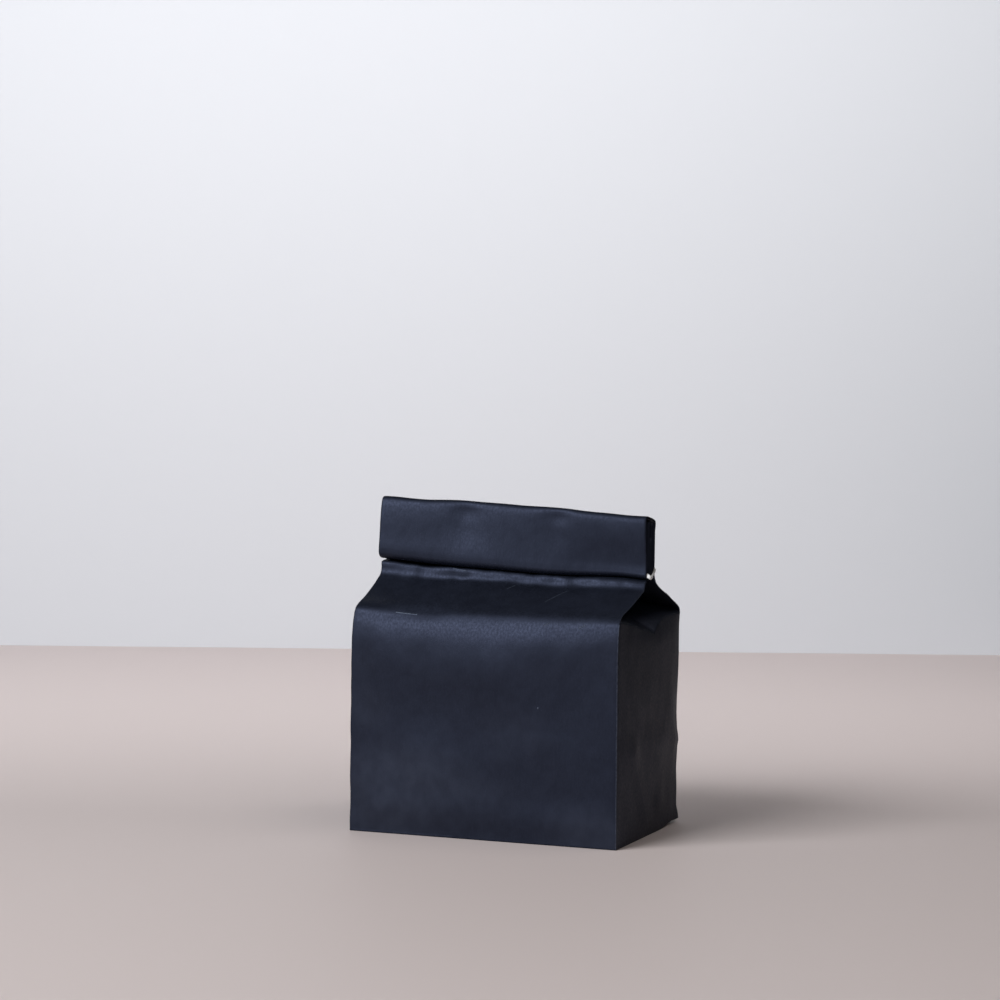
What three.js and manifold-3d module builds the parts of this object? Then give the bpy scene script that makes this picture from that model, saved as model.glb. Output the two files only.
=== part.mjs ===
// A small black kraft paper bag with a folded block bottom and side gussets, filled and
// standing upright. Its top is rolled down towards the front, and the end of a narrow tie
// comes out of the roll on the right and goes round to the back.
// Millimetres, +Z up. The origin is the middle of the bottom, and the front faces -Y.

import * as THREE from 'three';
import Module from 'manifold-3d';
import { ConvexGeometry } from 'three/addons/geometries/ConvexGeometry.js';
import { mergeVertices } from 'three/addons/utils/BufferGeometryUtils.js';

// the filled block
const width = 100; // X, across the front panel
const depth = 72.6; // Y, across a gusset
const shoulder = 78; // height of the bend from the panels to the roof
const sideBulge = 1.3; // how far the gusset panels swell past the corners
const panelBulge = 0.8; // the same for the front and back panels
const swellFull = 34; // height where the swelling is full
const swellFades = [68, 81]; // heights where it starts to fade, and where it ends
const cornerLift = 1.1; // the back right bottom corner stands off the table
const cornerReach = 24; // how far from that corner the lift starts
const cornerFade = 30; // height where the lift has gone
const stepX = 10; // distance between the rows of vertices across the bag

// the roof panels, as S curves from the shoulder to the neck, in (y, z) at the middle of the bag
const neckHeight = 98;
const frontRoof = [[-depth / 2, 78.5], [-depth / 2, 78.7], [-5.7, 89], [-1.2, neckHeight]];
const backRoof = [[depth / 2, 75.9], [depth / 2, 87.2], [-2, 86.4], [0.2, neckHeight]];

// the neck and the roll stand askew: their left end is further forward and higher
const askewForward = 0.094; // mm of Y for each mm of X
const askewDrop = 0.06; // mm of Z for each mm of X
const askewStart = 75; // height where it begins
const askewPower = 0.87;
const rollTwist = 0.021; // what the top of the roll has less of it

// the gusset recess under each end of the roof
const flapThickness = 1; // doubled paper at each edge of the roof
const gussetApexHeight = 72.3; // lowest point of the V on the side panel
const gussetApexY = 1.5;
const gussetFoldX = 16; // how far from the middle the recess ends inside
const gussetFoldHeight = 91;
const recessDepth = 18; // the space under the roof is cut from this far below the shoulder
const recessEnd = 5; // and up to this far below the neck

// the roll: one doubled sheet folded over and over, in (across, up) from its bottom middle
const plyThickness = 1.2;
const rollHeight = 22.2;
const rollFoot = [-5, 94.6]; // its bottom middle in (y, z) at the middle of the bag
const rollLean = 8.3; // degrees that its top leans back
const plies = { back: 4.4, front: -4.4, second: -1.4, third: 2.4, last: 0.5 };
const innerTop = 19; // height of the fold inside the roll
const innerFoot = 2.8; // where the inner plies turn and the back ply starts
const neckSlant = 0.6; // the back ply starts this far inside its own line
const beadHeight = 3.4; // the bead along the top of the back ply
const beadOut = 1.2;
const topRound = 1.5;
const footFold = 1.3; // height of the round at the roll's bottom
const innerFold = 1.2; // and of the two rounds inside it
const lastFold = 0.8;
const neckRise = 4; // height over which the neck turns into the back ply
const lastPlyShort = 3.5; // the sheet ends this far below the inner top

// the tie, along [past the roll's end, across the roll, up the roll]
const tieWidth = 1.6;
const tieThickness = 0.9;
const tieRoute = [
  [-12, -2.9, 2.6], // hidden in the roll's front fold
  [-4, -2.9, 2.5],
  [0.3, -2.9, 2.4],
  [1.1, -2.2, 1],
  [1.1, 0, 1.9],
  [0.9, 5.2, 3.9],
  [-1, 6.6, 4.4],
  [-13, 6, 4.6], // lying on the back, under the roll
];
const tieSteps = 44; // sections along it

const wasm = await Module();
wasm.setup();

const clamp = THREE.MathUtils.clamp;
const smooth = THREE.MathUtils.smoothstep;

// moves every vertex of a geometry by a function of its position
function reshape(geometry, move) {
  const place = geometry.attributes.position;
  const point = new THREE.Vector3();
  for (let i = 0; i < place.count; i += 1) {
    point.fromBufferAttribute(place, i);
    move(point);
    place.setXYZ(i, point.x, point.y, point.z);
  }
  return geometry;
}

// the askew stance of everything above the shoulder
function setAskew(point, twist = 0) {
  const share = clamp((point.z - askewStart) / (neckHeight - askewStart), 0, 1);
  const up = Math.max(0, point.z - rollFoot[1]) / rollHeight;
  point.y += point.x * (askewForward * share ** askewPower - twist * up);
  point.z -= point.x * askewDrop * share;
}

function toSolid(geometry) {
  const bare = geometry.clone();
  bare.deleteAttribute('normal');
  bare.deleteAttribute('uv');
  const merged = mergeVertices(bare, 1e-4);
  return new wasm.Manifold(new wasm.Mesh({
    numProp: 3,
    vertProperties: new Float32Array(merged.attributes.position.array),
    triVerts: new Uint32Array(merged.index.array),
  }));
}

function toGeometry(solid) {
  const mesh = solid.getMesh();
  const geometry = new THREE.BufferGeometry();
  geometry.setAttribute('position', new THREE.BufferAttribute(mesh.vertProperties, 3));
  geometry.setIndex(new THREE.BufferAttribute(mesh.triVerts, 1));
  geometry.computeVertexNormals();
  return geometry;
}

// a shape drawn in (y, z), extruded along X to both sides of the middle
function alongX(shape, length) {
  const settings = { depth: length, steps: length / stepX, bevelEnabled: false };
  const block = new THREE.ExtrudeGeometry(shape, settings);
  const turn = new THREE.Matrix4().makeBasis(
    new THREE.Vector3(0, 1, 0), new THREE.Vector3(0, 0, 1), new THREE.Vector3(1, 0, 0));
  return block.applyMatrix4(turn).translate(-length / 2, 0, 0);
}

function roofCurve(points) {
  return new THREE.CubicBezierCurve(...points.map(([y, z]) => new THREE.Vector2(y, z)));
}

// how much the panels swell at a height: nothing at the bottom fold and above the shoulder
function swell(z) {
  return smooth(z, 0, swellFull) * (1 - smooth(z, ...swellFades));
}

// The filled block and its roof: a box whose top is drawn up into the roof and the neck, and
// whose columns of vertices follow it, the more so the higher they are.
function filledBlock() {
  const stepsUp = 12;
  const stepsOnPanel = 10; // from the shoulder to the neck
  const columnBend = 4; // the power that keeps the columns upright in the block
  const front = roofCurve(frontRoof);
  const back = roofCurve(backRoof);
  const box = new THREE.BoxGeometry(width, 2, 1, width / stepX, 2 * stepsOnPanel, stepsUp);
  return reshape(box, point => {
    const t = point.y; // -1 at the front, 1 at the back
    const up = point.z + 0.5;
    const roof = (t <= 0 ? front : back).getPoint(1 - Math.abs(t));
    if (t === 0) roof.x = (front.v3.x + back.v3.x) / 2;
    const foot = t * depth / 2;
    point.y = THREE.MathUtils.lerp(foot, roof.x, up ** columnBend);
    point.z = roof.y * up;
    setAskew(point);
    const inX = point.x / (width / 2);
    const inY = clamp(point.y / (depth / 2), -1, 1);
    const grow = swell(point.z);
    point.x += inX ** 3 * sideBulge * (1 - inY ** 2) * grow;
    point.y += inY ** 3 * panelBulge * (1 - inX ** 2) * grow;
    const fromCorner = Math.hypot(width / 2 - point.x, depth / 2 - point.y);
    const lift = cornerLift * (1 - smooth(fromCorner, 0, cornerReach));
    point.z += lift * (1 - smooth(point.z, 0, cornerFade));
  });
}

// a roof curve moved towards the inside by the thickness of the flap, from just past the shoulder
function insetRoof(points, inward) {
  const curve = roofCurve(points);
  const steps = 14;
  return Array.from({ length: steps }, (_, i) => {
    const t = (i + 1) / steps;
    const along = curve.getTangent(t);
    const normal = new THREE.Vector2(along.y, -along.x);
    return curve.getPoint(t).addScaledVector(normal, inward * flapThickness);
  });
}

// The space under the roof, as long as the bag and a little more. It ends where the two
// insets meet below the neck.
function underRoof() {
  const floor = shoulder - recessDepth;
  const top = neckHeight - recessEnd;
  const front = insetRoof(frontRoof, 1).filter(spot => spot.y < top);
  const back = insetRoof(backRoof, -1).filter(spot => spot.y < top).reverse();
  const outline = [
    new THREE.Vector2(front[0].x, floor), ...front,
    ...back, new THREE.Vector2(back[back.length - 1].x, floor),
  ];
  const length = width + 2 * stepX;
  return toSolid(reshape(alongX(new THREE.Shape(outline), length), point => setAskew(point)));
}

// The V of one gusset, open upwards and outwards. Its two floors slope in from the side
// panel's V to the inner end of the gusset's middle crease.
function gussetWedge(end) {
  const inner = new THREE.Vector3(end * gussetFoldX, 0, gussetFoldHeight);
  setAskew(inner);
  const rim = [
    new THREE.Vector3(end * width / 2, -depth / 2, shoulder),
    new THREE.Vector3(end * (width / 2 + sideBulge), gussetApexY, gussetApexHeight),
    new THREE.Vector3(end * width / 2, depth / 2, shoulder),
  ];
  const outward = 1.3; // the rim is carried on past the side panel
  const upward = new THREE.Vector3(0, 0, 50); // and the whole wedge to above the roof
  const floor = [inner, ...rim.map(spot => inner.clone().lerp(spot, outward))];
  const above = floor.map(spot => spot.clone().add(upward));
  return toSolid(new ConvexGeometry([...floor, ...above]));
}

// the middle line of the rolled sheet, from the neck to its end inside the roll
function rollLine() {
  const line = new THREE.Path();
  const { back, front, second, third, last } = plies;
  const foot = plyThickness / 2;
  const top = rollHeight - foot;
  // a fold from one ply to the next; its round is above the level at a bottom fold
  const foldOver = (from, to, level, round) => {
    line.lineTo(from, level + round);
    line.quadraticCurveTo(from, level, (from + to) / 2, level);
    line.quadraticCurveTo(to, level, to, level + round);
  };
  line.moveTo(back - neckSlant, innerFoot);
  line.lineTo(back, innerFoot + neckRise);
  line.lineTo(back, top - beadHeight);
  line.quadraticCurveTo(back + beadOut, top, back - topRound, top);
  line.lineTo(front + topRound, top);
  line.quadraticCurveTo(front, top, front, top - topRound);
  foldOver(front, second, foot, footFold);
  foldOver(second, third, innerTop, -innerFold);
  foldOver(third, last, innerFoot, lastFold);
  line.lineTo(last, innerTop - lastPlyShort);
  return line.getPoints(4);
}

// the outline of the rolled sheet: its middle line moved half a thickness to each side
function rollOutline() {
  const line = rollLine().filter((spot, i, all) => i === 0 || spot.distanceTo(all[i - 1]) > 0.01);
  const half = plyThickness / 2;
  const edge = turn => line.map((spot, i) => {
    const before = line[Math.max(i - 1, 0)];
    const after = line[Math.min(i + 1, line.length - 1)];
    const along = after.clone().sub(before).normalize();
    return new THREE.Vector2(spot.x - along.y * half * turn, spot.y + along.x * half * turn);
  });
  return new THREE.Shape([...edge(1), ...edge(-1).reverse()]);
}

// from the roll's own (across, up) to the bag's frame, at a distance x from the middle
function setOnNeck(point) {
  const lean = THREE.MathUtils.degToRad(rollLean);
  const { y: across, z: up } = point;
  point.y = rollFoot[0] + across * Math.cos(lean) + up * Math.sin(lean);
  point.z = rollFoot[1] - across * Math.sin(lean) + up * Math.cos(lean);
  setAskew(point, rollTwist);
}

function roll() {
  return toSolid(reshape(alongX(rollOutline(), width), setOnNeck));
}

function bag() {
  const body = toSolid(filledBlock());
  const hollow = underRoof();
  const recesses = [-1, 1].map(end => gussetWedge(end).intersect(hollow));
  return toGeometry(body.subtract(recesses[0]).subtract(recesses[1]).add(roll()));
}

// The tie: it lies in the roll's front fold, leaves it at the right end, dips round the corner
// and rises along the roll's end to the back.
function tie() {
  const spots = tieRoute.map(([past, across, up]) => new THREE.Vector3(width / 2 + past, across, up));
  spots.forEach(setOnNeck);
  const route = new THREE.CatmullRomCurve3(spots, false, 'centripetal');
  const section = new THREE.Shape();
  section.absellipse(0, 0, tieWidth / 2, tieThickness / 2, 0, 2 * Math.PI);
  return new THREE.ExtrudeGeometry(section, { steps: tieSteps, curveSegments: 4, extrudePath: route });
}

const blackKraft = new THREE.MeshStandardMaterial({ color: 0x1b1e27, roughness: 0.62, metalness: 0 });
const paleTie = new THREE.MeshStandardMaterial({ color: 0xc9c6c4, roughness: 0.5, metalness: 0 });

function named(name, geometry, material) {
  const mesh = new THREE.Mesh(geometry, material);
  mesh.name = name;
  return mesh;
}

const pack = new THREE.Group();
pack.add(named('bag', bag(), blackKraft));
pack.add(named('tie', tie(), paleTie));

export default pack;
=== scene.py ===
import math

import bmesh
import bpy
from mathutils import Matrix, Vector, geometry, noise


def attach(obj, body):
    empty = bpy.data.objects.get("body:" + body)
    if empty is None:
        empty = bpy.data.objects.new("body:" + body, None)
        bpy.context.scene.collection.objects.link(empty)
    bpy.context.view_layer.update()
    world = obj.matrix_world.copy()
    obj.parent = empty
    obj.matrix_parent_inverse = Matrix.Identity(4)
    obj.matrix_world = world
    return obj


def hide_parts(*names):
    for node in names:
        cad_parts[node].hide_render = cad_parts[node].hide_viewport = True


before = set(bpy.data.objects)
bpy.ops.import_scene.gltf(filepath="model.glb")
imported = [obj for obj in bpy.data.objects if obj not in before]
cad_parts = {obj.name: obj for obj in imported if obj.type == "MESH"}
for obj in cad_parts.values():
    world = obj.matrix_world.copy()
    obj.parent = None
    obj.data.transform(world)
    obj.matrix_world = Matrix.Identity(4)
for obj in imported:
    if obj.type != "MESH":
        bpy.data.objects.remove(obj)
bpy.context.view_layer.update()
mm = 0.001  # sizes and places below are in millimetres, and Blender's are in metres
print("frame loaded")


# small maths

def ease(value, low, high):  # 0 up to low, 1 from high on, smooth between
    share = min(max((value - low) / (high - low), 0), 1)
    return share * share * (3 - 2 * share)


def hump(value, middle, reach):  # 1 at the middle, fading to both sides
    return math.exp(-((value - middle) / reach) ** 2)


def mix(a, b, share):
    return a + (b - a) * share


def between(stops, value):  # straight between (value, result) stops
    for (low, first), (high, second) in zip(stops, stops[1:]):
        if value <= high:
            return mix(first, second, max(0, (value - low) / (high - low)))
    return stops[-1][1]


def soft(x, y, seed):  # smooth noise from about -0.5 to 0.5, the same in each run
    return noise.noise(Vector((x, y, seed)))


# materials: a wire is one output of a node, and sums on wires add the nodes for them

class Wire:
    def __init__(self, finish, socket):
        self.finish = finish
        self.socket = socket

    def sum(self, operation, first, second):
        return self.finish.node("ShaderNodeMath", {"operation": operation}, {0: first, 1: second})

    def vector(self, operation, other=(0, 0, 0), output=0):
        return self.finish.node("ShaderNodeVectorMath", {"operation": operation},
                                {0: self, 1: other}, output)

    def __add__(self, other):
        return self.sum("ADD", self, other)

    def __mul__(self, other):
        return self.sum("MULTIPLY", self, other)

    __radd__ = __add__
    __rmul__ = __mul__

    def band(self, low, high, fromValue=0.0, toValue=1.0):  # a smooth step between two values
        return self.finish.node("ShaderNodeMapRange", {"interpolation_type": "SMOOTHSTEP"},
                                {"Value": self, "From Min": low, "From Max": high,
                                 "To Min": fromValue, "To Max": toValue})


class Finish:
    def __init__(self, name):
        self.material = bpy.data.materials.new(name)
        self.material.use_nodes = True
        self.tree = self.material.node_tree
        self.tree.nodes.clear()

    def node(self, kind, settings=None, sockets=None, output=0):
        made = self.tree.nodes.new(kind)
        for name, value in (settings or {}).items():
            if name == "stops":
                self.setStops(made.color_ramp, value)
            else:
                setattr(made, name, value)
        for name, value in (sockets or {}).items():
            if isinstance(value, Wire):
                self.tree.links.new(value.socket, made.inputs[name])
            else:
                made.inputs[name].default_value = value
        return Wire(self, made.outputs[output]) if made.outputs else None

    def setStops(self, ramp, stops):
        while len(ramp.elements) < len(stops):
            ramp.elements.new(1)
        for element, (place, colour) in zip(ramp.elements, stops):
            element.position = place
            element.color = (*colour, 1)

    def blend(self, share, first, second):  # between two colours
        return self.node("ShaderNodeMix", {"data_type": "RGBA"}, {0: share, 6: first, 7: second}, 2)

    def close(self, surface):
        self.node("ShaderNodeOutputMaterial", None, {"Surface": surface})
        return self.material


def finishPiece(mesh, name, materials, node):  # a bmesh becomes a piece of the bag
    data = bpy.data.meshes.new(name)
    mesh.to_mesh(data)
    mesh.free()
    piece = bpy.data.objects.new(name, data)
    bpy.context.scene.collection.objects.link(piece)
    for material in materials:
        data.materials.append(material)
    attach(piece, "root")
    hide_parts(node)
    return piece


# black kraft paper: fibres run up the sheet, so its patterns follow the sheet's own flat map

sheetSpan = 380  # millimetres of sheet to one unit of its UV map

kraft = {
    "dark": (0.0016, 0.0021, 0.004, 1),
    "light": (0.0058, 0.0072, 0.012, 1),
    "reflection_and_tone_patch": (0.0175, 0.0203, 0.03, 1),  # lighter: low on the front it is painted reflection of the floor, higher up just lighter tone
    "wear_and_glint": (0.11, 0.13, 0.17, 1),  # where the black has rubbed off, and painted highlight along some creases and fold edges
    "roughness": (0.49, 0.61),
    "specular": 0.52,
    "sheen": (0.53, 0.62, 1.0, 1),  # colour of the gloss
    "grainBump": 0.06, "cloudBump": 0.14, "markBump": 0.12,  # mm
    # its noises: (mm across the sheet, mm up it, detail, offset)
    "fibre": (0.7, 2.4, 2.0, 0.0),
    "fleck": (0.7, 1.1, 3.0, 7.0),
    "mottle": (5.0, 7.0, 1.2, 3.0),
    "cloud": (24.0, 30.0, 2.0, 5.0),
}


def blackKraft(marks, reflection_and_tone_patches):
    finish = Finish("black kraft")
    flat = finish.node("ShaderNodeTexCoord", None, None, "UV")
    flat = flat.vector("MULTIPLY", (sheetSpan, sheetSpan, 0))

    def grain(name):  # one of the noises in the dictionary
        across, up, detail, offset = kraft[name]
        scaled = flat.vector("MULTIPLY", (1 / across, 1 / up, 0)).vector("ADD", (offset, offset, 0))
        return finish.node("ShaderNodeTexNoise", None, {
            "Vector": scaled, "Scale": 1.0, "Detail": detail, "Roughness": 0.6})

    def mark(start, end, width, strength):  # the strength on a line, and 0 off it
        line = Vector(end) - Vector(start)
        away = flat.vector("SUBTRACT", (*start, 0))
        share = away.vector("DOT_PRODUCT", (*line, 0), output=1) * (1 / line.length_squared)
        share = finish.node("ShaderNodeClamp", None, {"Value": share})
        along = finish.node("ShaderNodeVectorMath", {"operation": "SCALE"}, {
            0: (*line, 0), "Scale": share})
        distance = away.vector("SUBTRACT", along).vector("LENGTH", output=1)
        return distance.band(0.0, width, strength, 0.0)

    def reflection_and_tone_patch(middle, across, up, strength):  # the strength in the middle of an oval, fading out
        away = flat.vector("SUBTRACT", (*middle, 0)).vector("MULTIPLY", (1 / across, 1 / up, 0))
        return away.vector("LENGTH", output=1).band(0.15, 1.0, strength, 0.0)

    fibre, fleck = grain("fibre"), grain("fleck")
    mottle, cloud = grain("mottle"), grain("cloud")
    shade = (fibre * 0.3 + fleck * 0.25 + mottle * 0.35 + cloud * 0.3).band(0.45, 0.78)
    # lighter ovals: the low ones on the front are painted reflection of the floor, the higher ones
    # lighter tone
    reflection_and_tone_share = sum(reflection_and_tone_patch(*shape) for shape in reflection_and_tone_patches) * mottle.band(0.3, 0.7, 0.6, 1.0)
    # lighter lines: partly black rubbed off the folds, partly painted highlight along crease ridges and
    # fold edges
    wear_and_glint_lines = sum(mark(*shape) for shape in marks)
    rubbed_and_glinting = wear_and_glint_lines * fleck.band(0.35, 0.6, 0.35, 1.0)
    colour = finish.blend(shade, kraft["dark"], kraft["light"])
    colour = finish.blend(reflection_and_tone_share, colour, kraft["reflection_and_tone_patch"])
    relief = fibre * 0.6 + fleck * 0.4
    first = finish.node("ShaderNodeBump", None, {
        "Strength": 1.0, "Distance": kraft["cloudBump"] * mm, "Height": mottle})
    second = finish.node("ShaderNodeBump", None, {
        "Strength": 1.0, "Distance": kraft["grainBump"] * mm, "Height": relief, "Normal": first})
    third = finish.node("ShaderNodeBump", None, {
        "Strength": 1.0, "Distance": kraft["markBump"] * mm, "Height": wear_and_glint_lines, "Normal": second})
    paper = finish.node("ShaderNodeBsdfPrincipled", None, {
        "Base Color": finish.blend(rubbed_and_glinting, colour, kraft["wear_and_glint"]),
        "Roughness": fleck.band(0.3, 0.7, kraft["roughness"][0], kraft["roughness"][1]),
        "Specular IOR Level": kraft["specular"],
        "Specular Tint": kraft["sheen"],
        "Normal": third})
    return finish.close(paper)


# the bag: one sheet, drawn flat and folded

paperBag = {
    "width": 101, "depth": 72.6,
    "shoulder": 78.1,  # where the gussets start to fold in, measured up the sheet
    "neck": 120.1,  # where the sheet goes into the roll
    "frontLine": [  # (y, z) of the front panel's outer side, up to the neck
        (-36.3, 56), (-36.25, 62), (-36.1, 67), (-35.8, 71.2), (-35.2, 74.8), (-34.2, 77.7),
        (-32.8, 79.6), (-30, 81.1), (-24, 83.2), (-16.5, 86.3), (-12.4, 88.1), (-10.2, 89.1), (-9.4, 90),
        (-9.1, 91.1), (-8.8, 92.2), (-8.2, 93.1), (-6, 93.7), (-3.4, 94.4)],
    "backLine": [
        (36.3, 62), (36.3, 70), (36.2, 76), (35.6, 79), (33.6, 81), (28.9, 82.9),
        (23.7, 84.8), (18.6, 86.8), (11.9, 88.8), (6.8, 90.7), (3.4, 92.4), (1.3, 94.8)],
    "thickness": 0.16,
    "plyGap": 0.34,  # from one ply's outer side to the next, where they lie flat together
    "halfStack": 0.56,  # half the thickness of the four plies in the roll
    "cornerSteps": 18, "cornerPower": 1.5,  # rows and columns crowd towards each fold
    "neckBend": (26.4, 34.8), "bendPitch": 1.05,  # and where the roof turns up into the neck
    "middleSteps": 14,  # columns across the middle of a panel
    "lapSteps": 10,  # the glued lap's width, in columns
    "flapRows": 3,  # rows of the bottom flaps past the bottom's middle line
    "footRows": 6,  # crowded rows above the bottom fold
    "wallRows": [(64, 2.1), (73, 1.1), (78.1, 0.72)],  # then up to each height, at its pitch
    "neckPitch": 1.3,
    "footRise": (0.1, 0.4),  # the bottom fold is off the table: (up, reach)
    "panelLayers": {-1: 0, 1: 0.18},  # heights of the bottom's flaps: the front's and the back's
    "endLayers": {-1: 0.72, 1: 0.54},  # those at the left and the right end
    "cornerLayer": 0.52,  # and the folded corners of the front's and the back's
    "lapRise": 0.17,
    "sideBulge": 1.3, "panelBulge": 0.8,
    "swellFull": 34, "swellFades": (68, 81),
    "cornerLift": 1.1, "cornerReach": 20, "cornerFade": 30,
    "cornerArch": (12, 6, 0.8),  # beside the lifted corner: (distance from it, reach, up)
    "foldSoftness": 0.1, "foldReach": 0.5,
    "apexDrop": 6.1, "apexShift": 1.5,  # the V that each gusset folds in along
    "frontVPower": 1.15, "backVPower": 4, "backApexDrop": 5.8,
    "askewForward": 0.094, "askewDrop": 0.06, "rollTwist": 0.021,
    "askewFrom": 77, "askewTo": 98,  # heights between which the neck turns askew
    "narrower": 0.016,  # share by which the right end of the roll is narrower
    "leftNeck": (-50.5, 15, 91, 3, 0.4, 1.3),  # (x, reach, height, reach, inward, up)
    # noise over the panels: (outward, reach across, reach up, seed)
    "panelNoise": [(0.8, 27, 24, 2), (0.2, 9, 12, 5)],
    "sideNoise": [(0.5, 22, 26, 12), (0.15, 8, 11, 15)],
    "frontDents": [  # (x, up the sheet, reach across, reach up, outward)
        (0, 63, 200, 12, 0.55), (0, 38, 200, 12, -0.45), (-28, 12, 32, 13, 1), (32, -3, 26, 13, 0.6),
        (30, 105.5, 20, 4.5, -0.45), (10, 59, 26, 10, 0.45), (36, 68, 17, 6, 0.25),
        (0, 5, 200, 7, 0.9), (-24, 80.5, 15, 3.5, -0.9)],
    "frontRidges": [(-50, 28, 0, 31, 15, 0.15)],  # (x, up, x, up, reach, outward)
    "backDents": [(0, 50, 60, 20, 0.3), (15, 22, 30, 10, -0.25)],
    "backRidges": [(-50, 33, 50, 29, 15, 0.15)],
    "sideDents": [(-10, 58, 16, 13, -0.35), (20, 16, 10, 12, -0.4)],
    "sideRidges": [
        (-36, 33, 36, 31, 8, 0.4), (-21, 31, -1, 3, 6, 0.5), (-12, 32, 34, 2, 6, -0.35),
        (12, 12, 36.3, 0, 8, 0.8)],
    "edgeWander": 0.18, "edgeReach": 14,
    "backEdge": [  # how far the back right edge stands in at a height
        (0, 0.45), (5, 0.66), (12, 0.6), (20, 0.76), (27.5, 0.48), (29.3, 0.39), (31, 0.03),
        (32.6, 0.3), (34.7, 0.58), (40, 0.8), (46, 0.72), (53, 0.5), (57, 0.37), (62, 0.3), (80, 0.3)],
    "reflection_and_tone_patches": [  # lighter: low on the front they are painted reflection of the floor, higher up lighter tone: (face, x, up, reach across, reach up, strength)
        ("front", -30, 21, 36, 17, 0.95), ("front", -36, 6, 34, 12, 0.7),
        ("front", 40, 5, 24, 13, 0.7), ("front", 12, 38, 20, 14, 0.25),
        ("front", -44, 44, 12, 12, 0.45), ("front", 0, 14, 24, 16, 0.3)],
    "foldMarks": [  # creases and worn folds, painted lighter: partly rubbed-off black, partly painted highlight on crease ridges and edges: (face, x or y, up, x or y, up, width, strength)
        ("front", -34, 79.2, -30, 78.9, 0.35, 1), ("front", -30, 78.9, -26, 78.7, 0.35, 0.9),
        ("front", 0.5, 101, 2.5, 104.5, 0.3, 0.4), ("front", 18, 92.6, 23, 103, 0.3, 0.3),
        ("front", 21.6, 47.2, 21.7, 47.4, 0.4, 0.9), ("front", 36, 75.4, 38, 76.4, 0.3, 0.6),
        ("front", 23, 75.8, 25, 76.8, 0.25, 0.6), ("front", -22, 110, -17, 109.4, 0.4, 0.5),
        ("front", 50.5, 0, 50.5, 77, 0.5, 0.45), ("front", 50.5, 79, 50.5, 106, 0.4, 0.3),
        ("side", -21, 31, -1, 3, 0.6, 0.14)],
    "neckWrinkle": (108, 5, 0.7, 4.5),  # (height, reach, outward, size of one wrinkle)
}

paperRoll = {
    "height": 22.2, "foot": (-5, 94.6), "lean": 8.3,
    "start": (4.16, 4.04),  # (across, up) where the neck ends
    # how far across each upright run of the rolled sheet stands
    "back": 4.4, "front": -4.4, "second": -1.4, "third": 2.4, "last": 0.5,
    "innerTop": 19, "innerFoot": 2.8, "innerRounds": (1.6, 0.9),
    "edge": 0.6,  # half the thickness of the rolled sheet
    "bead": (1.2, 3.4),  # the round edge at the top of the back: (outward, height)
    "topRound": 4.2, "footRound": 1.1, "lastLength": 12,
    "hiddenFrom": 46,  # length along the roll from which it is out of sight
    "pitch": 1.75, "hiddenPitch": 4,
    "bow": 0.8,  # the middle stands a little higher than the ends
    "topWave": (0.5, 13),  # of its top: (up, reach)
    "noise": [(0.28, 17, 14, 21)],  # (outward, reach across, reach up, seed)
    "droops": [(-20, 24, 1.7), (14, 24, 2), (51, 7, 0.8)],  # of the flap: (x, reach, down)
    "dents": [  # of the front: (x, up the roll, reach across, reach up, outward)
        (0, 19, 200, 11, 0.9), (-38, 18, 15, 9, 0.6), (-12, 2, 18, 7, 0.3), (36, -2, 26, 11, -1.3),
        (-17, 17.8, 5, 2.6, -0.8), (-17, 12.5, 7, 5, -0.55), (17.5, 18.4, 5, 2.4, -0.75),
        (17.5, 13, 7, 5, -0.5)],
}

halfWidth = paperBag["width"] / 2
halfDepth = paperBag["depth"] / 2
shoulder = paperBag["shoulder"]
neck = paperBag["neck"]
foldWidth = 0.01  # a place this near to a fold's line is on it


class Track:  # a line in (y, z) that is walked by its length
    def __init__(self, points):
        self.points = [Vector(points[0])]
        self.lengths = [0.0]
        for point in points[1:]:
            step = (Vector(point) - self.points[-1]).length
            if step > 1e-4:
                self.points.append(Vector(point))
                self.lengths.append(self.lengths[-1] + step)
        last = len(self.points) - 1
        self.headings = [
            (self.points[min(i + 1, last)] - self.points[max(i - 1, 0)]).normalized()
            for i in range(last + 1)]
        self.length = self.lengths[-1]

    def at(self, length):  # the point, and the normal on the right of the way
        low, high = 0, len(self.lengths) - 1
        while high - low > 1:
            middle = (low + high) // 2
            if self.lengths[middle] <= length:
                low = middle
            else:
                high = middle
        share = (length - self.lengths[low]) / (self.lengths[high] - self.lengths[low])
        heading = self.headings[low].lerp(self.headings[high], min(max(share, 0), 1))
        heading.normalize()
        return self.points[low].lerp(self.points[high], share), Vector((heading.y, -heading.x))


def bezier(points, steps=40):
    return geometry.interpolate_bezier(*[Vector(spot) for spot in points], steps)


def through(points, steps=8):  # a smooth line through all the points
    spots = [Vector(point) for point in points]
    line = []
    for i in range(len(spots) - 1):
        start, end = spots[i], spots[i + 1]
        before, after = spots[max(i - 1, 0)], spots[min(i + 2, len(spots) - 1)]
        line += bezier([start, start + (end - before) / 6, end - (after - start) / 6, end], steps)
    return line


def turn(start, end, bulge, steps=10):  # half an ellipse between two points at one level
    middle, radius = (start[0] + end[0]) / 2, (start[0] - end[0]) / 2
    angles = [math.pi * i / steps for i in range(steps + 1)]
    return [(middle + radius * math.cos(a), start[1] + bulge * math.sin(a)) for a in angles]


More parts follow.
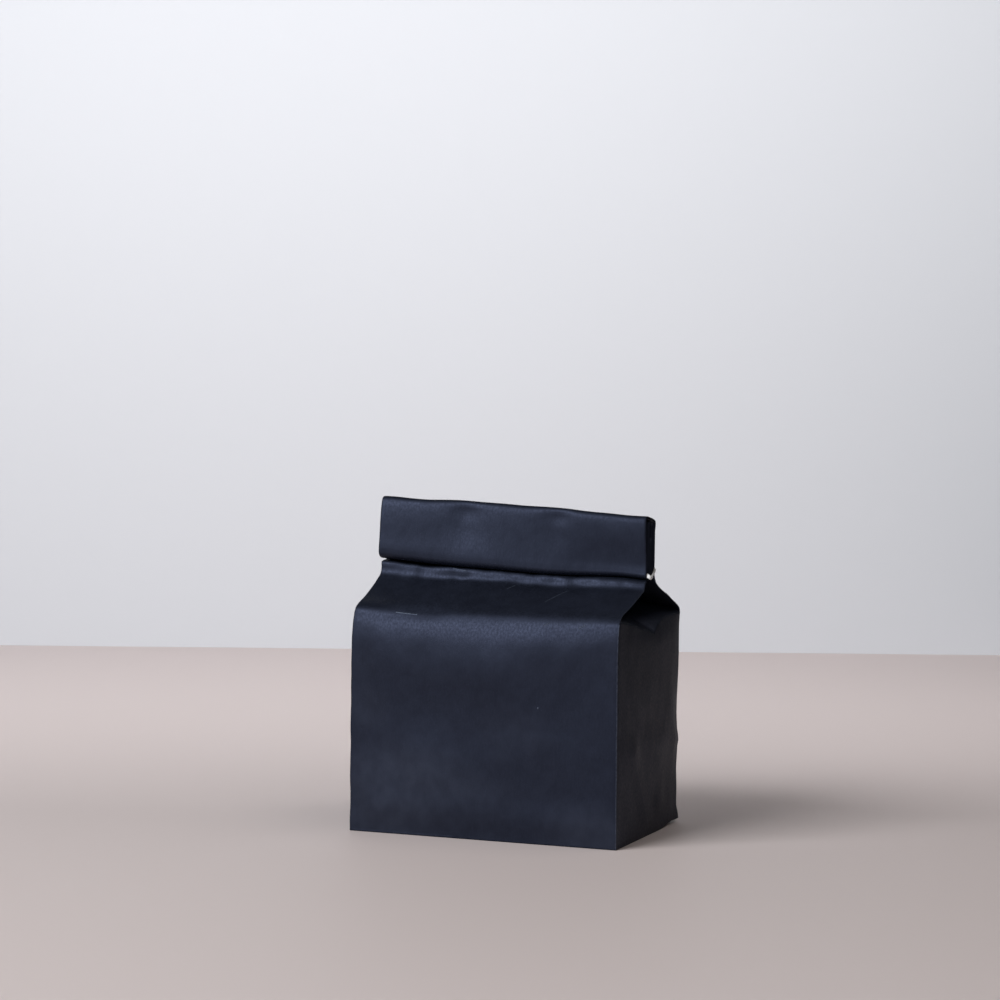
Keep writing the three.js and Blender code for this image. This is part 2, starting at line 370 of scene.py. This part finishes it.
def rollSpots():  # the rolled sheet's middle line, in the roll's own (across, up)
    roll = paperRoll
    top = roll["height"] - roll["edge"]
    beadOut, beadHeight = roll["bead"]
    backTop = (roll["back"], top - beadHeight)
    beadEnd = (roll["back"] - roll["topRound"], top)
    frontTop = (roll["front"] + roll["topRound"], top)
    frontDown = (roll["front"], top - roll["topRound"])
    bead = (roll["back"] + beadOut, top)
    corner = (roll["front"], top)
    spots = [roll["start"], (roll["back"], roll["start"][1] + 3)]
    spots += bezier([backTop, bead, bead, beadEnd], 12)
    spots += bezier([frontTop, corner, corner, frontDown], 8)
    footLevel = roll["edge"] + roll["footRound"]
    spots += turn((roll["front"], footLevel), (roll["second"], footLevel), -roll["footRound"])
    high, low = roll["innerRounds"]
    spots += turn((roll["second"], roll["innerTop"]), (roll["third"], roll["innerTop"]), high)
    spots += turn((roll["third"], roll["innerFoot"]), (roll["last"], roll["innerFoot"]), -low)
    spots.append((roll["last"], roll["innerFoot"] + roll["lastLength"]))
    return [Vector(spot) for spot in spots]


def onNeck(across, up):  # from the roll's own frame to the bag's (y, z)
    lean = math.radians(paperRoll["lean"])
    y, z = paperRoll["foot"]
    return Vector((y + across * math.cos(lean) + up * math.sin(lean),
                   z - across * math.sin(lean) + up * math.cos(lean)))


rollTrack = Track(rollSpots())


def panelTrack(side):  # the middle line of the front (-1) or back (1) panel up to the neck
    start, normal = rollTrack.at(0)
    end = onNeck(*(start + normal * side * paperBag["halfStack"]))
    line = paperBag["frontLine" if side < 0 else "backLine"]
    return Track([(side * halfDepth, 0)] + through(line + [end]))


panelTracks = {side: panelTrack(side) for side in (-1, 1)}


def panelLine(side, v):  # (y, z) at a height on the sheet, and the outward normal
    track = panelTracks[side]
    if v > shoulder:
        v = shoulder + (v - shoulder) * (track.length - shoulder) / (neck - shoulder)
    place, normal = track.at(v)
    return place, normal * side


def swell(z):  # how much the panels swell at a height
    return ease(z, 0, paperBag["swellFull"]) * (1 - ease(z, *paperBag["swellFades"]))


def softFold(distance):  # a fold isn't quite sharp
    return paperBag["foldSoftness"] * hump(distance, 0, paperBag["foldReach"])


def dents(shapes, across, up):
    return sum(outward * hump(across, x, reachX) * hump(up, v, reachUp)
               for x, v, reachX, reachUp, outward in shapes)


def waves(shapes, across, up, side=0):  # noise of several sizes, another on each side
    return sum(outward * soft(across / reachX, up / reachUp, seed + side)
               for outward, reachX, reachUp, seed in shapes)


def ridges(shapes, across, up):  # blunt ridges along straight lines
    total = 0
    for x1, up1, x2, up2, reach, outward in shapes:
        nearest, share = geometry.intersect_point_line((across, up), (x1, up1), (x2, up2))
        end = Vector((x1, up1)).lerp(Vector((x2, up2)), min(max(share, 0), 1))
        total += outward * max(0, 1 - (Vector((across, up)) - end).length / reach)
    return total


def panelRelief(side, x, v):  # how far the front or back panel stands out
    name = "front" if side < 0 else "back"
    height, reach, wrinkled, size = paperBag["neckWrinkle"]
    relief = waves(paperBag["panelNoise"], x, v, side)
    relief += dents(paperBag[name + "Dents"], x, v) + ridges(paperBag[name + "Ridges"], x, v)
    relief *= ease(v, 0, 14)
    relief += wrinkled * hump(v, height, reach) * soft(x / size, v / size, 9 + side)
    return relief * ease(halfWidth - abs(x), 0, 12)


def gussetRelief(end, y, v):  # the same for the gusset panels
    relief = waves(paperBag["sideNoise"], y, v, end)
    relief += dents(paperBag["sideDents"], y, v) + ridges(paperBag["sideRidges"], y, v)
    return relief * ease(v, 0, 12) * ease(halfDepth - abs(y), 0, 10)


def panelPoint(side, x, v, inset=0.0):  # a point of the front or back panel below the neck
    place, outward = panelLine(side, v)
    edge = halfWidth - abs(x)
    inX = x / halfWidth
    fold = ease(v - shoulder, 0, 1.5)  # the panel's edge is a flat fold above the shoulder
    grow = swell(v) * paperBag["panelBulge"] * (1 - inX ** 2)
    rise = grow + panelRelief(side, x, v) - inset
    rise -= softFold(edge) * (1 - fold)
    if edge < foldWidth:
        rise -= fold * paperBag["plyGap"] / 2
    place = place + outward * rise
    x -= math.copysign(softFold(edge), x)
    return Vector((x, place.x, place.y))


def vLine(y):  # how far the V's crease is below the shoulder at a place across the gusset
    away = 1 - abs(y) / halfDepth
    if y < 0:
        return paperBag["apexDrop"] * away ** paperBag["frontVPower"]
    drop = mix(paperBag["backApexDrop"], paperBag["apexDrop"], hump(y, 0, 2))
    return drop * away ** paperBag["backVPower"]


def gussetWall(end, y, v):  # a point of the gusset panel below the V
    front, back = panelLine(-1, v)[0], panelLine(1, v)[0]
    share = (y + halfDepth) / (2 * halfDepth)
    inY = y / halfDepth
    edge = halfDepth - abs(y)
    x = halfWidth + paperBag["sideBulge"] * (1 - inY ** 2) * swell(v) + gussetRelief(end, y, v)
    x -= softFold(edge)
    across = mix(front.x, back.x, share) - math.copysign(softFold(edge), y)
    across += paperBag["apexShift"] * (1 - abs(inY)) * ease(v, 45, shoulder - 5)
    return Vector((end * x, across, mix(front.y, back.y, share)))


def gussetPoint(end, y, v, raised):  # a point of the gusset below the neck
    side = -1 if y < 0 else 1
    reach = halfDepth - abs(y)  # distance from the gusset's corner
    h = v - shoulder
    drop = vLine(y)
    outwards = Vector((end * raised, 0, 0))
    if h <= 0:  # the rows below the shoulder are pushed down by the V
        lowered = v - drop * max(v / shoulder, 0) ** 6
        return gussetWall(end, y, lowered) + outwards
    gap = (paperBag["plyGap"] + raised) * (1 if reach > foldWidth else 0)
    if h >= reach:
        return panelPoint(side, end * (halfWidth - reach), v, gap)
    rim = gussetWall(end, y, shoulder - drop) + outwards
    inner = panelPoint(side, end * (halfWidth - reach), shoulder + reach, gap)
    return rim.lerp(inner, h / reach)


def rollPoint(x, v, ply):  # a point of the roll: ply is its offset in the stack
    place, normal = rollTrack.at(v - neck)
    spot = place + normal * ply
    droop = sum(down * hump(x, middle, width) for middle, width, down in paperRoll["droops"])
    front = ease(-spot.x, 1.5, 4)
    relief = dents(paperRoll["dents"], x, spot.y) + waves(paperRoll["noise"], x, spot.y)
    flap = ease(-spot.x, 0, 0.8) * (1 - ease(spot.y, 0, 9))
    up, reach = paperRoll["topWave"]
    top = up * soft(x / reach, 0.3, 24) * ease(spot.y, 4, 18)
    spot.x -= front * relief
    spot.y += paperRoll["bow"] * hump(x, -8, 32) + top - droop * flap
    spot = onNeck(*spot)
    return Vector((x, spot.x, spot.y))


def rolledPoint(kind, side, spot, v, raised):  # the same for a place on the flat sheet
    half, gap = paperBag["halfStack"], paperBag["plyGap"]
    if kind == "panel":
        onFold = halfWidth - abs(spot) < foldWidth
        return rollPoint(spot, v, side * (half - (gap / 2 if onFold else 0)))
    turned = -1 if spot < 0 else 1
    onFold = halfDepth - abs(spot) < foldWidth
    inside = gap / 2 if onFold else gap + raised
    return rollPoint(side * (halfWidth - halfDepth + abs(spot)), v, turned * (half - inside))


def setAskew(point):  # the neck and the roll stand askew on the block
    share = (point.z - paperBag["askewFrom"]) / (paperBag["askewTo"] - paperBag["askewFrom"])
    share = min(max(share, 0), 1)
    up = max(0, point.z - paperRoll["foot"][1]) / paperRoll["height"]
    slant = paperBag["askewForward"] * share - paperBag["rollTwist"] * up
    point.y += point.x * slant
    point.x -= max(0, point.x) * paperBag["narrower"] * share * mix(0.3, 1, min(up, 1))
    point.z -= point.x * paperBag["askewDrop"] * share


def setLeftNeck(point):  # at its left end the neck is narrower and stands higher
    x, reachX, height, reachUp, inward, up = paperBag["leftNeck"]
    share = hump(point.x, x, reachX) * hump(point.z, height, reachUp)
    point.x += inward * share
    point.z += up * share


def liftCorner(point):  # the back right corner stands off the table
    away = math.hypot(halfWidth - point.x, halfDepth - point.y)
    lift = paperBag["cornerLift"] * (1 - ease(away, 0, paperBag["cornerReach"]))
    distance, reach, up = paperBag["cornerArch"]
    lift += up * hump(away, distance, reach)
    point.z += lift * (1 - ease(point.z, 0, paperBag["cornerFade"]))


def bendEdge(point):  # the block's upright edges aren't quite straight
    away = math.hypot(halfWidth - abs(point.x), halfDepth - abs(point.y))
    near = (1 - ease(away, 0, paperBag["edgeReach"])) * ease(point.z, 0, 6)
    near *= 1 - ease(point.z, 72, 80)
    outward = paperBag["edgeWander"] * soft(point.z / 7, point.x / 40, point.y / 40)
    if point.x > 0 and point.y > 0:
        outward = -between(paperBag["backEdge"], point.z)
    point.x += outward * near * (1 if point.x > 0 else -1)
    point.y += outward * near * (1 if point.y > 0 else -1)


def footRise(distance):  # how far the sheet is off the table near the bottom fold
    up, reach = paperBag["footRise"]
    return up * hump(distance, 0, reach)


def bottomPoint(kind, side, spot, w, raised):  # the block bottom: w is the distance past the fold
    down = ease(w, 0, 1.5)
    lift = footRise(w)
    if kind != "panel":
        layer = paperBag["endLayers"][side] - raised
        return Vector((side * (halfWidth - w), spot, layer * down + lift))
    edge = halfWidth - abs(spot)
    panelLayer = paperBag["panelLayers"][side]
    end = math.copysign(1, spot)
    if edge > w + foldWidth:
        return Vector((spot, side * (halfDepth - w), panelLayer * down + lift))
    layer = mix(panelLayer, paperBag["cornerLayer"], ease(w - edge, 0, 0.6)) * down + lift
    return Vector((end * (halfWidth - w), side * (halfDepth - edge), layer))


def foldSheet(face, spot, v):  # from the flat sheet to its place on the bag
    kind, side = face
    onLap = kind == "lap" and halfDepth - abs(spot) > foldWidth
    raised = paperBag["lapRise"] if onLap else 0.0
    if v < 0:
        point = bottomPoint(kind, side, spot, -v, raised)
    elif v > neck - foldWidth:
        point = rolledPoint(kind, side, spot, v, raised)
    elif kind == "panel":
        point = panelPoint(side, spot, v)
    else:
        point = gussetPoint(side, spot, v, raised)
    if v >= 0:
        point.z += footRise(v)
    if v < neck:
        setLeftNeck(point)
    bendEdge(point)
    setAskew(point)
    liftCorner(point)
    return point


def nearFold():  # distances from a fold, crowded near it and at the neck's bend
    steps, power = paperBag["cornerSteps"], paperBag["cornerPower"]
    low, high = paperBag["neckBend"]
    crowded = [low * (i / steps) ** power for i in range(steps + 1)]
    return crowded + even(low, high, paperBag["bendPitch"]) + [halfDepth]


def even(low, high, step):  # points from low to high, without low
    count = max(1, round((high - low) / step))
    return [mix(low, high, (i + 1) / count) for i in range(count)]


def middlePitch():  # columns across the middle of a panel are this far apart
    return 2 * (halfWidth - halfDepth) / paperBag["middleSteps"]


def sheetColumns():  # (face, x or y, place across the flat sheet) of each column, from the seam on
    near = nearFold()
    toMiddle = [halfWidth - q for q in near]
    inner = [toMiddle[-1] - middlePitch() * i for i in range(1, paperBag["middleSteps"])]
    across = toMiddle + inner + [-x for x in reversed(toMiddle)]  # a panel's x, right to left
    halfGusset = [halfDepth - q for q in near]
    deep = halfGusset + [-y for y in reversed(halfGusset[:-1])]  # a gusset's y, back to front
    runs = [
        (("gusset", -1), deep[1:]),
        (("panel", -1), [-x for x in across][1:]),
        (("gusset", 1), [-y for y in deep][1:]),
        (("panel", 1), across[1:]),
        (("lap", -1), deep[1:paperBag["lapSteps"] + 1]),
    ]
    columns = []
    u = 0.0
    for face, spots in runs:
        steps = [near[1]] + [abs(spot - before) for before, spot in zip(spots, spots[1:])]
        for spot, step in zip(spots, steps):
            u += step
            columns.append((face, spot, u))
    return columns


def sheetRows():  # heights on the sheet, from the end of the bottom flaps to the roll's end
    near = nearFold()
    flap = [-halfDepth - middlePitch() * i for i in range(paperBag["flapRows"], 0, -1)]
    flap += [-q for q in reversed(near)]
    wall = near[1:paperBag["footRows"] + 1]
    low = wall[-1]
    for high, pitch in paperBag["wallRows"]:
        wall += even(low, high, pitch)
        low = high
    roof = [shoulder + q for q in near[1:]]
    neckRows = even(roof[-1], neck, paperBag["neckPitch"])
    curled = []
    for low, high in zip(rollTrack.lengths, rollTrack.lengths[1:]):
        pitch = paperRoll["pitch" if low < paperRoll["hiddenFrom"] else "hiddenPitch"]
        curled += [neck + length for length in even(low, high, pitch)]
    return flap + wall + roof + neckRows + curled


def foldLines(columns, rows):  # (column, row) on the diagonals that the sheet is folded along
    found = []
    for i, ((kind, side), spot, u) in enumerate(columns):
        reach = (halfWidth if kind == "panel" else halfDepth) - abs(spot)
        for j, v in enumerate(rows):
            if kind == "panel" and v < 0 and abs(-v - reach) < foldWidth:
                found.append((i, j))
            if kind != "panel" and shoulder <= v and abs(v - shoulder - reach) < foldWidth:
                found.append((i, j))
    return found


def makeBag(material):
    columns, rows = sheetColumns(), sheetRows()
    sheet = bmesh.new()
    flatMap = sheet.loops.layers.uv.new("flat sheet")
    bmesh.ops.create_grid(sheet, x_segments=len(columns) - 1, y_segments=len(rows) - 1, size=1)
    sheet.verts.ensure_lookup_table()
    places = {}
    for vert in sheet.verts:
        i = round((vert.co.x + 1) / 2 * (len(columns) - 1))
        j = round((vert.co.y + 1) / 2 * (len(rows) - 1))
        places[i, j] = vert
        vert.co = (columns[i][2], rows[j], 0)
    folds = foldLines(columns, rows)
    made = bmesh.ops.connect_verts(sheet, verts=[places[spot] for spot in folds])
    for edge in made["edges"]:
        edge.smooth = False
    lowest = rows[0]
    for face in sheet.faces:
        face.smooth = True
        for loop in face.loops:
            loop[flatMap].uv = (loop.vert.co.x / sheetSpan, (loop.vert.co.y - lowest) / sheetSpan)
    for (i, j), vert in places.items():
        face, spot, u = columns[i]
        vert.co = foldSheet(face, spot, rows[j]) * mm
    print("sheet folded:", len(columns), "columns,", len(rows), "rows,", len(sheet.faces), "faces")
    bag = finishPiece(sheet, "folded_paper_bag", [material], "bag")
    solid = bag.modifiers.new("paper", "SOLIDIFY")
    solid.thickness = paperBag["thickness"] * mm
    solid.offset = -1


flapLength = -sheetRows()[0]


def flatPlace(face, across, up):  # from a place on the front or the right side to the flat sheet's
    middle = paperBag["depth"] + halfWidth + (halfWidth + halfDepth if face == "side" else 0)
    return middle + across, up + flapLength


# the fold marks, partly painted highlight on creases and edges, placed on the flat sheet
foldMarks = [(flatPlace(face, x1, up1), flatPlace(face, x2, up2), width, strength)
             for face, x1, up1, x2, up2, width, strength in paperBag["foldMarks"]]
# the lighter patches, low ones painted reflection of the floor, placed on the flat sheet
reflection_and_tone_patches = [(flatPlace(face, x, up), across, high, strength)
           for face, x, up, across, high, strength in paperBag["reflection_and_tone_patches"]]
makeBag(blackKraft(foldMarks, reflection_and_tone_patches))
print("bag made")


# the tie: a flat strip that comes out of the fold at the right end and goes round to the back

paperTie = {
    "route": [  # (x, across the roll, up the roll, width, thickness)
        (38, -2.9, 1.4, 1.8, 0.9), (46, -2.95, 1.4, 1.8, 0.9), (50.2, -3.1, 0.5, 1.8, 0.9),
        (51.4, -3.1, -0.1, 1.8, 0.9), (51.6, -2.1, -0.3, 1.4, 0.9), (51.4, -0.2, 0.8, 1.2, 0.8),
        (51.1, 2.4, 2.5, 1.2, 0.8), (50.7, 4.4, 3.7, 1.3, 0.8), (49.6, 5.6, 4.2, 1.7, 0.8),
        (47, 6, 4.2, 2, 0.8), (37.5, 5.7, 4.3, 2, 0.8)],
    "colour": (0.82, 0.81, 0.82, 1), "roughness": 0.42,
    "sides": 16, "steps": 7,
}


def tiePoint(x, across, up):
    y, z = onNeck(across, up)
    point = Vector((x, y, z))
    setAskew(point)
    return point


def makeTie():
    route = paperTie["route"]
    line = through([Vector(stop[:3]) for stop in route], paperTie["steps"])
    sizes = through([Vector((0, *stop[3:])) for stop in route], paperTie["steps"])
    strip = bmesh.new()
    count = paperTie["sides"]
    bmesh.ops.create_circle(strip, cap_ends=True, segments=count, radius=1)
    rim = list(strip.edges)  # the open end
    verts = list(strip.verts)
    for i, (spot, size) in enumerate(zip(line, sizes)):
        if i:
            made = bmesh.ops.extrude_edge_only(strip, edges=rim)
            rim = [part for part in made["geom"]
                   if isinstance(part, bmesh.types.BMEdge) and part.is_boundary]
            verts = [part for part in made["geom"] if isinstance(part, bmesh.types.BMVert)]
        heading = (line[min(i + 1, len(line) - 1)] - line[max(i - 1, 0)]).normalized()
        side = heading.cross((0, 0, 1)).normalized()
        for k, vert in enumerate(verts):
            angle = 2 * math.pi * k / count
            vert.co = spot + Vector((0, 0, size.y / 2 * math.cos(angle)))
            vert.co += side * size.z / 2 * math.sin(angle)
    bmesh.ops.holes_fill(strip, edges=rim, sides=count)
    for vert in strip.verts:
        vert.co = tiePoint(*vert.co) * mm
    bmesh.ops.recalc_face_normals(strip, faces=strip.faces)
    for face in strip.faces:
        face.smooth = len(face.verts) == 4
    finish = Finish("pale tie")
    satin = finish.close(finish.node("ShaderNodeBsdfPrincipled", None, {
        "Base Color": paperTie["colour"], "Roughness": paperTie["roughness"]}))
    finishPiece(strip, "tie", [satin], "tie")


makeTie()
print("tie made")


# the stage: a pale floor and a low pale wall behind the bag

stage = {
    "wallDistance": 880,  # behind the bag, away from the camera
    "wallHeight": 620, "toLeft": 1600, "toRight": 440, "toFront": 1500,
    "floorColour": (0.66, 0.57, 0.55, 1),
    "wallColour": (0.63, 0.64, 0.67, 1),
    "roughness": 0.6, "specular": 0.3,
    "skyColour": (0.9, 0.94, 1, 1), "skyStrength": 0.04,
}

camera = {  # millimetres and degrees
    "lens": 74.99, "yaw": 21.91, "pitch": 0.05, "roll": 0.57,
    "target": (-8.03, 0, 119.22), "distance": 766.1,
}


def makePlane(name, low, high, raised, colour):  # a plane of the stage, square to the view
    plane = bmesh.new()
    bmesh.ops.create_grid(plane, x_segments=1, y_segments=1, size=1)
    for vert in plane.verts:
        across = mix(low[0], high[0], (vert.co.x + 1) / 2)
        along = mix(low[1], high[1], (vert.co.y + 1) / 2)
        vert.co = Vector((across, stage["wallDistance"], along) if raised else (across, along, 0)) * mm
    bmesh.ops.rotate(plane, verts=plane.verts, cent=(0, 0, 0),
                     matrix=Matrix.Rotation(math.radians(camera["yaw"]), 3, "Z"))
    data = bpy.data.meshes.new(name)
    plane.to_mesh(data)
    plane.free()
    shown = bpy.data.objects.new(name, data)
    bpy.context.scene.collection.objects.link(shown)
    finish = Finish(name)
    data.materials.append(finish.close(finish.node("ShaderNodeBsdfPrincipled", None, {
        "Base Color": colour, "Roughness": stage["roughness"],
        "Specular IOR Level": stage["specular"]})))


lamps = {
    # name: place, aimed at, size, watts, colour
    "key": ((-560, -1100, 930), (0, 0, 60), (900, 600), 21, (0.97, 1, 1.02)),
    "above": ((450, 150, 1150), (120, 0, 0), (600, 600), 1.6, (1, 0.97, 0.94)),
    "corner": ((950, -950, 850), (50, 0, 0), (900, 900), 2, (1, 0.93, 0.87)),
    "wall": ((-93, 71, 700), (-363, 744, 620), (1400, 300), 6.8, (0.99, 1, 1.02)),
}


def makeLamps():
    for name, (place, aim, size, power, colour) in lamps.items():
        lamp = bpy.data.lights.new(name, "AREA")
        lamp.shape = "RECTANGLE"
        lamp.size, lamp.size_y = size[0] * mm, size[1] * mm
        lamp.energy = power
        lamp.color = colour
        holder = bpy.data.objects.new(name, lamp)
        holder.location = Vector(place) * mm
        holder.rotation_euler = (Vector(aim) - Vector(place)).to_track_quat("-Z", "Y").to_euler()
        bpy.context.scene.collection.objects.link(holder)
    world = bpy.data.worlds.new("studio")
    world.use_nodes = True
    sky = world.node_tree.nodes["Background"].inputs
    sky["Color"].default_value = stage["skyColour"]
    sky["Strength"].default_value = stage["skyStrength"]
    bpy.context.scene.world = world
    bpy.context.scene.view_settings.view_transform = "Standard"


def makeCamera():
    lens = bpy.data.cameras.new("camera")
    lens.lens = camera["lens"]
    lens.clip_start, lens.clip_end = 0.01, 20
    holder = bpy.data.objects.new("camera", lens)
    turned = Matrix.Rotation(math.radians(camera["yaw"]), 3, "Z")
    turned = turned @ Matrix.Rotation(math.radians(90 - camera["pitch"]), 3, "X")
    ahead = turned @ Vector((0, 0, -1))
    turned = turned @ Matrix.Rotation(math.radians(camera["roll"]), 3, "Z")
    holder.location = (Vector(camera["target"]) - ahead * camera["distance"]) * mm
    holder.rotation_euler = turned.to_euler()
    bpy.context.scene.collection.objects.link(holder)
    bpy.context.scene.camera = holder


makePlane("floor", (-stage["toLeft"], -stage["toFront"]),
          (stage["toRight"], stage["wallDistance"]), False, stage["floorColour"])
makePlane("wall", (-stage["toLeft"], 0), (stage["toRight"], stage["wallHeight"]), True,
          stage["wallColour"])
makeLamps()
makeCamera()
print("stage, lamps and camera made")
